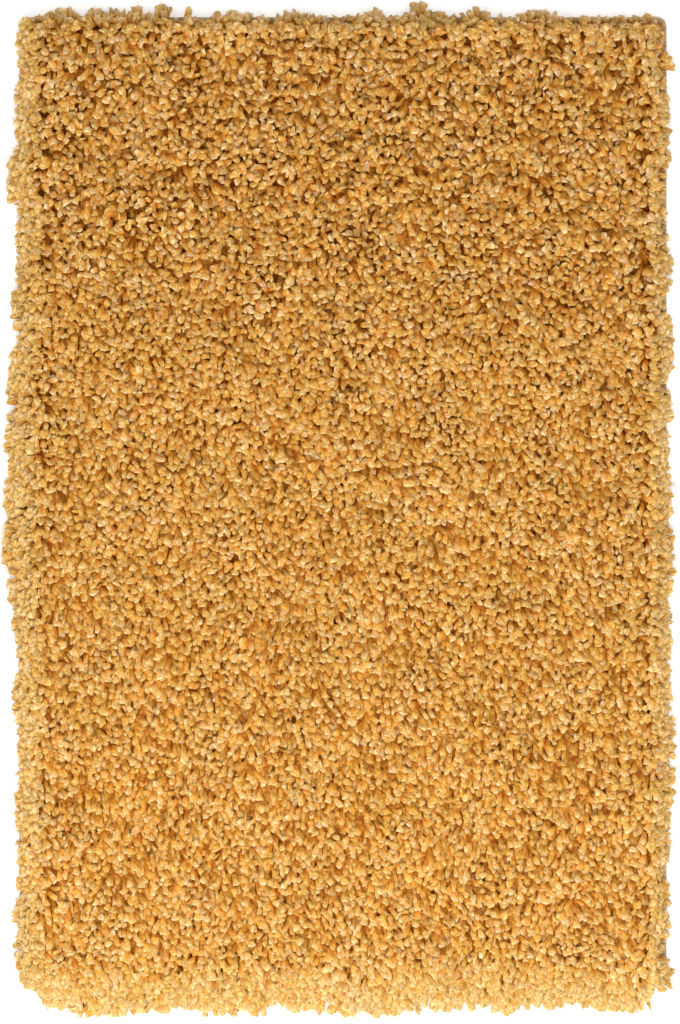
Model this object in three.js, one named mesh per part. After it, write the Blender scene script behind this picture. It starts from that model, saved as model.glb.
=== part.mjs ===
// Shag rug: a woven ground cloth that carries a long cut pile, with an overlocked yarn binding round its edges.
// Millimetres, +Z up. The rug lies flat with its underside at z = 0, and +Y points to its head end.
import * as THREE from "three";

// Driving sizes
const CLOTH_WIDTH = 600; // between the outer sides of the two long bindings
const CLOTH_LENGTH = 900; // between the outer sides of the two end bindings
const CORNER_RADIUS = 8; // the cut corners of the cloth are rounded before they are bound
const CLOTH_THICKNESS = 2.2;
const BINDING_WIDTH = 5.5; // how far the binding reaches in over the cloth
const BINDING_YARN = 1; // thickness of the stitched yarn on either side of the cloth
const PILE_HEIGHT = 26; // from the floor to the mean top of the leaning pile
const PILE_CROWN = 16; // how far in from the cloth's edge the pile stands at its full height
const LOWEST_TIPS = 1.5; // how far above the floor the overhanging tips end
const LIP_THICKNESS = 3; // one yarn, lying, at the outermost line of the pile
const LIP_SLANT = 0.4; // how far the lip's lower edge stands back from its upper one
const DROOP = 0.35; // how far the underside of the overhang falls for each millimetre that it reaches
const CLEARANCE = 0.3; // between the binding and the cloth that it holds
const PILE_LIFT = 0.6; // of the pile over the binding, so that it clears it where it slopes down to a clump

// How finely the rug is divided
const EDGE_STEP = 9.5; // along the outline of the pile
const CLOTH_STEP = 60; // along the straight edges of cloth and binding
const FIELD_STEP = 28; // along the rings of the open pile
const CORNER_STEPS = 4; // an even number, because two bindings meet at the middle of a corner
const CORNER_SHARE = 0.02; // of each side's share of the way round, for its corner
const CROWN_STEPS = 5; // from the outline of the pile up to its crown
const FIELD_INSETS = [42, 78, 120, 165, 210, 252]; // rings of the open pile, in from the cloth's edge

// Worked-out sizes
const HALF_WIDTH = CLOTH_WIDTH / 2;
const HALF_LENGTH = CLOTH_LENGTH / 2;
const TONGUE_INSET = BINDING_YARN + CLEARANCE; // the cloth's cut edge inside the binding
const TONGUE_BOTTOM = BINDING_YARN + CLEARANCE;
const TONGUE_TOP = TONGUE_BOTTOM + CLOTH_THICKNESS;
const BINDING_HEIGHT = TONGUE_TOP + CLEARANCE + BINDING_YARN;
const BODY_INSET = BINDING_WIDTH + CLEARANCE;
const PILE_UNDERSIDE = BINDING_HEIGHT + PILE_LIFT;

// The four sides, anticlockwise from above. bareReach is how far the pile lies out past the binding between its
// clumps.
const SIDES = [
  { name: "bottom", out: [0, -1], bareReach: 17.5 },
  { name: "right", out: [1, 0], bareReach: 0.5 },
  { name: "top", out: [0, 1], bareReach: -1 },
  { name: "left", out: [-1, 0], bareReach: 2 },
];

// Clumps of pile that lie out further: where each starts and ends, along X on the top and bottom and along Y on
// the long sides, and how far its tips reach past the binding.
const CLUMPS = [
  { side: "top", from: -303, to: -281, reach: 6 },
  { side: "top", from: -273, to: -245, reach: 9 },
  { side: "top", from: -237, to: -204, reach: 9 },
  { side: "top", from: -195, to: -180, reach: 11 },
  { side: "top", from: -176, to: -158, reach: 13 },
  { side: "top", from: -120, to: -86, reach: 6 },
  { side: "top", from: -59, to: -24, reach: 7 },
  { side: "top", from: 14, to: 35, reach: 10 },
  { side: "top", from: 56, to: 75, reach: 14 },
  { side: "top", from: 78, to: 102, reach: 7 },
  { side: "top", from: 113, to: 131, reach: 11 },
  { side: "top", from: 165, to: 198, reach: 7 },
  { side: "top", from: 215, to: 228, reach: 3 },
  { side: "right", from: -330, to: 70, reach: 3 },
  { side: "right", from: 399, to: 412, reach: 7 },
  { side: "right", from: 312, to: 376, reach: 4 },
  { side: "right", from: 198, to: 242, reach: 6 },
  { side: "right", from: 120, to: 170, reach: 8 },
  { side: "right", from: 78, to: 100, reach: 8 },
  { side: "right", from: -14, to: 32, reach: 6 },
  { side: "right", from: -76, to: -24, reach: 9 },
  { side: "right", from: -132, to: -92, reach: 6 },
  { side: "right", from: -184, to: -158, reach: 6 },
  { side: "right", from: -276, to: -200, reach: 9 },
  { side: "right", from: -322, to: -288, reach: 4 },
  { side: "right", from: -398, to: -350, reach: 4 },
  { side: "right", from: -456, to: -424, reach: 7 },
  { side: "bottom", from: -290, to: -255, reach: 22 },
  { side: "bottom", from: -252, to: -192, reach: 29 },
  { side: "bottom", from: -186, to: -150, reach: 26 },
  { side: "bottom", from: -138, to: -74, reach: 28 },
  { side: "bottom", from: -48, to: -18, reach: 26 },
  { side: "bottom", from: -6, to: 62, reach: 29 },
  { side: "bottom", from: 80, to: 112, reach: 24 },
  { side: "bottom", from: 138, to: 168, reach: 28 },
  { side: "bottom", from: 182, to: 204, reach: 23 },
  { side: "bottom", from: 228, to: 280, reach: 25 },
  { side: "left", from: 404, to: 432, reach: 3 },
  { side: "left", from: 340, to: 384, reach: 5 },
  { side: "left", from: 282, to: 326, reach: 12 },
  { side: "left", from: 158, to: 206, reach: 8 },
  { side: "left", from: -96, to: 146, reach: 11 },
  { side: "left", from: 84, to: 130, reach: 13 },
  { side: "left", from: 42, to: 78, reach: 15 },
  { side: "left", from: -14, to: 32, reach: 15 },
  { side: "left", from: -56, to: -20, reach: 17 },
  { side: "left", from: -84, to: -64, reach: 14 },
  { side: "left", from: -120, to: -92, reach: 8 },
  { side: "left", from: -200, to: -160, reach: 7 },
  { side: "left", from: -300, to: -268, reach: 4 },
  { side: "left", from: -400, to: -376, reach: 9 },
  { side: "left", from: -432, to: -406, reach: 5 },
];
const CLUMP_SHOULDER = 8; // over which a clump rises at each of its ends

// Broad swells and hollows of the pile's top, where it lies thick or parts: place, size and height.
const SWELLS = [
  { x: -90, y: 262, spread: 52, rise: -3 },
  { x: 20, y: 222, spread: 46, rise: -3 },
  { x: -215, y: 352, spread: 60, rise: -2.4 },
  { x: 200, y: 354, spread: 70, rise: -2.6 },
  { x: 146, y: 190, spread: 56, rise: -2 },
  { x: -150, y: 400, spread: 66, rise: 2.2 },
  { x: 66, y: 392, spread: 74, rise: 2.2 },
  { x: -12, y: 94, spread: 96, rise: 1.8 },
  { x: -180, y: -70, spread: 90, rise: 1.6 },
  { x: 160, y: -118, spread: 84, rise: 1.8 },
  { x: 30, y: -210, spread: 64, rise: -1.8 },
  { x: -170, y: -276, spread: 88, rise: 1.6 },
  { x: 120, y: -330, spread: 90, rise: 1.8 },
];

// How far the pile reaches past the binding at a place along a side.
function pileReach(side, place) {
  let reach = side.bareReach;
  for (const clump of CLUMPS) {
    if (clump.side !== side.name) continue;
    const inside = Math.min(place - clump.from, clump.to - place);
    const rise = THREE.MathUtils.smoothstep(inside, -CLUMP_SHOULDER / 2, CLUMP_SHOULDER / 2);
    reach = Math.max(reach, THREE.MathUtils.lerp(side.bareReach, clump.reach, rise));
  }
  return reach;
}

// Height of the pile's top over a place of the cloth.
function pileTop(x, y) {
  let height = PILE_HEIGHT;
  for (const swell of SWELLS) {
    const distance = Math.hypot(x - swell.x, y - swell.y) / swell.spread;
    height += swell.rise * Math.exp(-distance * distance);
  }
  return height;
}

// Stations along the cloth's edge, anticlockwise from above. Each has its place, the way out of the cloth, how
// far the pile reaches there, the number of its side, how much of that side's corner it has turned, and its
// share of the way round, from 0 to 4.
function edgeStations(step) {
  const stations = [];
  SIDES.forEach((side, number) => {
    const [outX, outY] = side.out;
    const [goX, goY] = [-outY, outX];
    const across = outX ? HALF_WIDTH : HALF_LENGTH;
    const run = (outX ? HALF_LENGTH : HALF_WIDTH) - CORNER_RADIUS;
    const following = SIDES[(number + 1) % SIDES.length];
    const reachAt = (where, x, y) => pileReach(where, where.out[0] ? y : x);
    const count = Math.round((2 * run) / step);
    for (let i = 0; i <= count; i++) {
      const along = -run + (2 * run * i) / count;
      const x = outX * across + goX * along;
      const y = outY * across + goY * along;
      const reach = reachAt(side, x, y);
      const share = number + ((1 - CORNER_SHARE) * i) / count;
      stations.push({ x, y, out: [outX, outY], reach, number, turned: 0, share });
    }
    for (let i = 1; i < CORNER_STEPS; i++) {
      const turned = i / CORNER_STEPS;
      const angle = (turned * Math.PI) / 2;
      const out = [
        outX * Math.cos(angle) + goX * Math.sin(angle),
        outY * Math.cos(angle) + goY * Math.sin(angle),
      ];
      const x = outX * (across - CORNER_RADIUS) + goX * run + out[0] * CORNER_RADIUS;
      const y = outY * (across - CORNER_RADIUS) + goY * run + out[1] * CORNER_RADIUS;
      const reach = THREE.MathUtils.lerp(reachAt(side, x, y), reachAt(following, x, y), turned);
      const share = number + 1 - CORNER_SHARE * (1 - turned);
      stations.push({ x, y, out, reach, number, turned, share });
    }
  });
  return stations;
}

// The place a distance out from the edge at a station, or a distance in from it where that is negative.
function placeAt(station, distance) {
  if (distance >= 0) {
    return [station.x + station.out[0] * distance, station.y + station.out[1] * distance];
  }
  return [station.x * (1 + distance / HALF_WIDTH), station.y * (1 + distance / HALF_LENGTH)];
}

// A closed loop of points over a list of stations. section gives a station's distance out and its height.
function loopOver(stations, section) {
  return stations.map((station) => {
    const { out, z } = section(station);
    const [x, y] = placeAt(station, out);
    return { share: station.share, at: new THREE.Vector3(x, y, z === undefined ? pileTop(x, y) : z) };
  });
}

// A closed skin over a stack of loops, each joined to the next, with a point at the middle of its first and
// last loop. Two loops may have different numbers of points: the one that is behind in its share goes on first.
function skinOver(loops, firstMiddle, lastMiddle) {
  const points = [firstMiddle];
  const faces = [];
  const rings = loops.map((loop) =>
    loop.map(({ share, at }) => ({ share, index: points.push(at) - 1 })),
  );
  points.push(lastMiddle);
  const next = (ring, i) => ring[(i + 1) % ring.length].index;
  const shareOf = (ring, i) => (i < ring.length ? ring[i].share : ring[0].share + SIDES.length);
  rings[0].forEach((point, i) => faces.push(0, next(rings[0], i), point.index));
  for (let r = 0; r + 1 < rings.length; r++) {
    const [low, high] = [rings[r], rings[r + 1]];
    let [i, j] = [0, 0];
    while (i < low.length || j < high.length) {
      const lowPoint = low[i % low.length].index;
      const highPoint = high[j % high.length].index;
      const lowGoes = j >= high.length || (i < low.length && shareOf(low, i + 1) <= shareOf(high, j + 1));
      if (lowGoes) {
        faces.push(lowPoint, next(low, i), highPoint);
        i += 1;
      } else {
        faces.push(lowPoint, next(high, j), highPoint);
        j += 1;
      }
    }
  }
  const last = rings[rings.length - 1];
  last.forEach((point, i) => faces.push(points.length - 1, point.index, next(last, i)));
  return geometryOf(points, faces);
}

// A geometry from points and the triangles between them.
function geometryOf(points, faces) {
  const geometry = new THREE.BufferGeometry().setFromPoints(points).setIndex(faces);
  geometry.computeVertexNormals();
  return geometry;
}

// The ground cloth with its pile. The cloth's edge is a tongue inside the binding, and the pile lies over it.
function pileCloth() {
  const clothEdge = edgeStations(CLOTH_STEP);
  const pileEdge = edgeStations(EDGE_STEP);
  const field = edgeStations(FIELD_STEP);
  const clothLoop = (inset, z) => loopOver(clothEdge, () => ({ out: -inset, z }));
  const lipHeight = (reach) =>
    Math.max(LOWEST_TIPS, PILE_UNDERSIDE - DROOP * Math.max(0, reach - PILE_LIFT));
  const loops = [
    clothLoop(BODY_INSET, 0),
    clothLoop(BODY_INSET, TONGUE_BOTTOM),
    clothLoop(TONGUE_INSET, TONGUE_BOTTOM),
    clothLoop(TONGUE_INSET, TONGUE_TOP),
    clothLoop(BODY_INSET, TONGUE_TOP),
    loopOver(pileEdge, () => ({ out: -BODY_INSET, z: PILE_UNDERSIDE })),
    loopOver(pileEdge, ({ reach }) => ({ out: Math.min(PILE_LIFT, reach - 1), z: PILE_UNDERSIDE })),
    loopOver(pileEdge, ({ reach }) => ({ out: reach - LIP_SLANT, z: lipHeight(reach) })),
  ];
  for (let i = 0; i < CROWN_STEPS; i++) {
    const angle = ((i / CROWN_STEPS) * Math.PI) / 2;
    loops.push(
      loopOver(pileEdge, (station) => {
        const out = station.reach - (station.reach + PILE_CROWN) * (1 - Math.cos(angle));
        const low = lipHeight(station.reach) + LIP_THICKNESS;
        const top = pileTop(station.x, station.y);
        return { out, z: low + (top - low) * Math.sin(angle) };
      }),
    );
  }
  for (const inset of [PILE_CROWN, ...FIELD_INSETS]) {
    loops.push(loopOver(inset === PILE_CROWN ? pileEdge : field, () => ({ out: -inset })));
  }
  return skinOver(loops, new THREE.Vector3(0, 0, 0), new THREE.Vector3(0, 0, pileTop(0, 0)));
}

// The binding along one side: a C of yarn round the cloth's edge, from the middle of one corner to the middle
// of the next. Its ends stand half a clearance back from the corner's middle.
function binding(number) {
  const round = BINDING_YARN;
  const section = [
    [-BINDING_WIDTH, 0],
    [-round, 0],
    [-0.3 * round, 0.3 * round],
    [0, round],
    [0, BINDING_HEIGHT - round],
    [-0.3 * round, BINDING_HEIGHT - 0.3 * round],
    [-round, BINDING_HEIGHT],
    [-BINDING_WIDTH + 0.5 * round, BINDING_HEIGHT],
    [-BINDING_WIDTH, BINDING_HEIGHT - 0.4 * round],
    [-BINDING_WIDTH, BINDING_HEIGHT - BINDING_YARN],
    [-BINDING_YARN, BINDING_HEIGHT - BINDING_YARN],
    [-BINDING_YARN, BINDING_YARN],
    [-BINDING_WIDTH, BINDING_YARN],
  ].map(([out, z]) => new THREE.Vector2(out, z));
  const before = (number + SIDES.length - 1) % SIDES.length;
  const edge = edgeStations(CLOTH_STEP);
  const stations = [
    ...edge.filter((station) => station.number === before && station.turned >= 0.5),
    ...edge.filter((station) => station.number === number && station.turned <= 0.5),
  ];
  const points = stations.flatMap((station, i) => {
    const setBack = i === 0 ? CLEARANCE / 2 : i === stations.length - 1 ? -CLEARANCE / 2 : 0;
    return section.map(({ x: out, y: z }) => {
      const [x, y] = placeAt(station, out);
      return new THREE.Vector3(x - station.out[1] * setBack, y + station.out[0] * setBack, z);
    });
  });
  const faces = [];
  const width = section.length;
  for (let s = 0; s + 1 < stations.length; s++) {
    for (let i = 0; i < width; i++) {
      const [a, b] = [s * width + i, s * width + ((i + 1) % width)];
      faces.push(a, a + width, b, b, a + width, b + width);
    }
  }
  const lastSection = (stations.length - 1) * width;
  for (const [a, b, c] of THREE.ShapeUtils.triangulateShape(section, [])) {
    faces.push(a, b, c, lastSection + c, lastSection + b, lastSection + a);
  }
  return geometryOf(points, faces);
}

const yarnPile = new THREE.MeshStandardMaterial({ color: 0xcf9448, roughness: 0.95, metalness: 0 });
const overlockYarn = new THREE.MeshStandardMaterial({ color: 0xa38c6e, roughness: 0.9, metalness: 0 });

function piece(name, geometry, material) {
  const mesh = new THREE.Mesh(geometry, material);
  mesh.name = name;
  return mesh;
}

// The pieces lie round the cloth's middle, and the whole is moved so that the origin is under the middle of the
// rug with its overhanging pile.
const lying = new THREE.Group();
lying.add(piece("pile_cloth", pileCloth(), yarnPile));
SIDES.forEach((side, number) => {
  lying.add(piece("binding_" + side.name, binding(number), overlockYarn));
});
const middle = new THREE.Box3().setFromObject(lying).getCenter(new THREE.Vector3());
lying.position.set(-middle.x, -middle.y, 0);

const rug = new THREE.Group();
rug.add(lying);

export default rug;
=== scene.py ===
# %% [markdown]
# # A golden shag rug
# The rug is a coarse woven cloth of 60 by 90 cm with a long cut pile: about twenty-five thousand thick,
# loose yarns, each tied into the weave and cut at some 30 mm. An overlocked yarn binding holds the cloth's
# cut edge. A fixed frame gives the true sizes. Its pile is one smooth solid that is good for collision and
# weight, and this lesson puts real yarns in its place.
#
# First the frame is loaded and its box is kept, because the finished rug has to fill the same space.

import math

import bpy
import numpy as np
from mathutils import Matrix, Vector, kdtree


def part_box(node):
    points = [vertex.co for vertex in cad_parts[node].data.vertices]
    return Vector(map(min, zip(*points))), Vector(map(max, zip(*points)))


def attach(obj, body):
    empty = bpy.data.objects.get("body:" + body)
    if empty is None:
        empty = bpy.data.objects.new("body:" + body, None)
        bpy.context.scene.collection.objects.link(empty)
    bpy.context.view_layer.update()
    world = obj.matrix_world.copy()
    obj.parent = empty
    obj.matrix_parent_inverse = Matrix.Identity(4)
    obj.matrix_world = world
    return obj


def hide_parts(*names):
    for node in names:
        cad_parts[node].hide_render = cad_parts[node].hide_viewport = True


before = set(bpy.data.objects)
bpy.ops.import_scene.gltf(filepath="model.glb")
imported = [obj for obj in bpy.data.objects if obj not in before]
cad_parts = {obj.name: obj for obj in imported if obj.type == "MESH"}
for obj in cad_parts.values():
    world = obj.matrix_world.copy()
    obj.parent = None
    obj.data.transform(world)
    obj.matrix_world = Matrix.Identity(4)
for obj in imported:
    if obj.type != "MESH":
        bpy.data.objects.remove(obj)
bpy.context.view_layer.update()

MM = 0.001  # the lesson thinks in millimetres and Blender in metres
NOT_ZERO = 1e-6  # added to a gap in mm before anything is divided by it
BARELY = 1e-9  # and to the length of an arrow

# %% [markdown]
# ## The cloth under the pile
# Everything on a rug is placed from its cloth: rows of yarn run along it, and the binding runs round it.
# The cloth's edge could be typed in again, but then two places would hold one size. So it is read from the
# boxes of the four bindings, and every later place counts from the cloth's middle.

# %% Measure the cloth
SIDES = {"bottom": (0, -1), "right": (1, 0), "top": (0, 1), "left": (-1, 0)}


def side_edge(side):
    low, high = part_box("binding_" + side)
    out_x, out_y = SIDES[side]
    axis = 0 if out_x else 1
    return (high if out_x + out_y > 0 else low)[axis] / MM


EDGE = {side: side_edge(side) for side in SIDES}
CLOTH_WIDTH = EDGE["right"] - EDGE["left"]
CLOTH_LENGTH = EDGE["top"] - EDGE["bottom"]
CLOTH_MIDDLE = np.array([EDGE["right"] + EDGE["left"], EDGE["top"] + EDGE["bottom"]]) / 2
BINDING_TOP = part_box("binding_top")[1].z / MM
print("cloth, mm:", round(CLOTH_WIDTH, 1), "by", round(CLOTH_LENGTH, 1), "round", CLOTH_MIDDLE.round(1))

# %% [markdown]
# ## The camera
# The photograph is taken from straight above, as a stylist shoots a rug on a studio floor. The camera's field
# could be fitted by eye. Here it comes from one known length, the distance between the two long bindings,
# which is 648 of the picture's pixels. A long lens from nearly three metres up keeps the pile at the edges
# from leaning outwards in the picture.

# %% Place the camera
PICTURE_SIZE = (680, 1024)  # pixels
BINDINGS_APART = 648  # pixels between the outer sides of the two long bindings
CLOTH_MIDDLE_SEEN = (343, 502)  # pixel of the cloth's middle, from the picture's top left
CAMERA_HEIGHT = 2.8  # metres above the middle of the pile
PILE_MIDDLE = 14  # height in mm of the layer whose scale the camera is set to
SENSOR = 36  # mm
SIGHT = 50  # metres

scale = CLOTH_WIDTH / BINDINGS_APART  # mm for each pixel
camera_x = CLOTH_MIDDLE[0] + (PICTURE_SIZE[0] / 2 - CLOTH_MIDDLE_SEEN[0]) * scale
camera_y = CLOTH_MIDDLE[1] - (PICTURE_SIZE[1] / 2 - CLOTH_MIDDLE_SEEN[1]) * scale
bpy.ops.object.select_all(action="DESELECT")
bpy.ops.object.camera_add(
    location=(camera_x * MM, camera_y * MM, CAMERA_HEIGHT + PILE_MIDDLE * MM), rotation=(0, 0, 0)
)
camera = bpy.context.object
camera.data.sensor_width = SENSOR
camera.data.lens = SENSOR * CAMERA_HEIGHT / (PICTURE_SIZE[1] * scale * MM)
camera.data.clip_end = SIGHT
bpy.context.scene.camera = camera
print("scale:", round(scale, 4), "mm a pixel, lens:", round(camera.data.lens, 1), "mm")

# %% [markdown]
# ## Helpers for colours and nodes
# A colour picked from a screen is in sRGB, while Blender's shaders count in linear light, so one function
# turns a hex value into linear numbers. Another adds a node, fills in its settings and links its inputs,
# which keeps each material below as short as its idea. An input that is given a node takes the first thing
# which that node puts out. Many nodes carry one range of numbers over to another, so the four ends of the two
# ranges are named once.

# %% Colours and nodes


def linear(hex_colour, alpha=1.0):
    parts = [int(hex_colour[i : i + 2], 16) / 255 for i in (1, 3, 5)]
    return tuple(c / 12.92 if c <= 0.04045 else ((c + 0.055) / 1.055) ** 2.4 for c in parts) + (alpha,)


def add_node(tree, kind, inputs=None, **settings):
    node = tree.nodes.new(kind)
    for name, value in settings.items():
        setattr(node, name, value)
    for socket, value in (inputs or {}).items():
        if isinstance(value, bpy.types.Node):
            value = value.outputs[0]
        if isinstance(value, bpy.types.NodeSocket):
            tree.links.new(value, node.inputs[socket])
        else:
            node.inputs[socket].default_value = value
    return node


def from_to(low, high, start=0.0, end=1.0):
    return {"From Min": low, "From Max": high, "To Min": start, "To Max": end}


def new_material(name):
    material = bpy.data.materials.new(name)
    material.use_nodes = True
    material.node_tree.nodes.clear()
    return material, material.node_tree


print("white is", linear("#ffffff"))

# %% [markdown]
# ## Floor and light
# A studio shot of a rug has one big soft light and a floor that burns out to white. The light stands beyond
# the rug's near end, so that end is brighter and the far end falls off, with deeper shadows between its tips.
# A pale sky round it fills those shadows. The floor glows a little of its own, which keeps it white in the
# picture although the light on it is uneven, and it still takes the rug's soft shadow.

# %% Make the studio
FLOOR_SIZE = 8  # metres
FLOOR_GLOW = 0.36  # strength of its own light
KEY_PLACE = (-0.1, -1.15, 1.45)  # metres
KEY_SIZE = 1.8  # metres across
KEY_POWER = 28.0  # watts
KEY_COLOUR = (1.0, 0.985, 0.96)
SKY_STRENGTH = 0.81
SKY_COLOUR = (0.98, 0.99, 1.0, 1.0)

bpy.ops.mesh.primitive_plane_add(size=FLOOR_SIZE, location=(0, 0, 0))
floor = bpy.context.object
floor.name = "studio_floor"
paper, tree = new_material("white_paper_floor")
surface = add_node(
    tree,
    "ShaderNodeBsdfPrincipled",
    {
        "Base Color": linear("#f2f1ef"),
        "Roughness": 0.9,
        "Emission Color": linear("#ffffff"),
        "Emission Strength": FLOOR_GLOW,
    },
)
add_node(tree, "ShaderNodeOutputMaterial", {"Surface": surface})
floor.data.materials.append(paper)

bpy.ops.object.light_add(type="AREA", location=KEY_PLACE)
key = bpy.context.object
key.name = "key_softbox"
key.data.energy = KEY_POWER
key.data.shape = "DISK"
key.data.size = KEY_SIZE
key.data.color = KEY_COLOUR
key.rotation_euler = (Vector((0, 0, 0)) - Vector(KEY_PLACE)).to_track_quat("-Z", "Y").to_euler()

sky = bpy.data.worlds.new("studio_sky")
bpy.context.scene.world = sky
sky.use_nodes = True
background = sky.node_tree.nodes["Background"]
background.inputs["Color"].default_value = SKY_COLOUR
background.inputs["Strength"].default_value = SKY_STRENGTH
bpy.context.scene.view_settings.view_transform = "Standard"
print("light:", KEY_POWER, "W at", KEY_PLACE)

# %% [markdown]
# ## Yarn
# The pile yarn is a thick, soft, loosely twisted polyester, dyed golden, whose cut end opens like a small
# brush. Not every yarn takes the dye alike: most are golden, ochre or cream, and a few turn out orange or
# tan. The finish could use noise over the whole rug, but noise cuts across yarns, while real colour changes
# from yarn to yarn. So each yarn is given one cell of its UV map: 32 columns from dark to light by 5 bands of
# hue. Inside its cell the map runs once round the yarn and once along it, and the shader reads all it needs
# from there.
#
# Along the yarn, painted shade darkens it towards its root, deep in the pile where little light gets down,
# and it pales towards its brushed end. Round it run the streaks of its fibres and the groove between its
# plies, which has painted shade in it, and its sides, where it touches its neighbours, are a little darker
# with painted shade.

# %% Yarn finish
TONE_COLUMNS = 32
HUE_BANDS = 5
CELL_MARGIN = (0.06, 0.02)  # of a cell, kept free round its yarn's skin
HUES = ["#f4c772", "#f2c06b", "#f7d492", "#f1bc70", "#ecc894"]  # golden, ochre, cream, orange and tan
LAST_TONE = 0.999  # just under 1, so that the lightest yarn still falls in the last column
HUE_SLACK = 0.01  # by which a band's colour starts early, so that rounding can't miss it
DARKEST_TONE, LIGHTEST_TONE = 0.85, 1.25
# painted shade along the yarn: darkest and most saturated deep in the pile, where little light gets down,
# white at the tip
DEPTH_SHADE_COLOURS = [(0.35, "#e4a64a"), (0.6, "#d6a456"), (0.85, "#efcf96"), (0.97, "#ffffff")]  # root to tip
PALING = (1.0, 1.18, 2.1)  # powers of the shade in red, green and blue: a light yarn is also a paler one
TWIST_TURNS = 2.5  # of the plies over one yarn
GROOVE_WIDTH, GROOVE_PAINTED_SHADE = 0.5, 0.76  # where two plies meet: its share of a ply, and how dark it is
FLANK_FROM, FLANK_PAINTED_SHADE = 0.35, 0.82  # how far round the side that meets a neighbour starts, and its shade
FIBRE_SCALE = 3.0  # makes streaks of about 0.8 mm, wide enough to show
FIBRE_STRETCH = 1.6  # along the yarn
STREAK_RANGE = (0.35, 0.65)  # of the noise
STREAK_SHADES = (0.78, 1.17)
PLY_RELIEF = 0.4  # as a share of the fibres' relief


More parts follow.
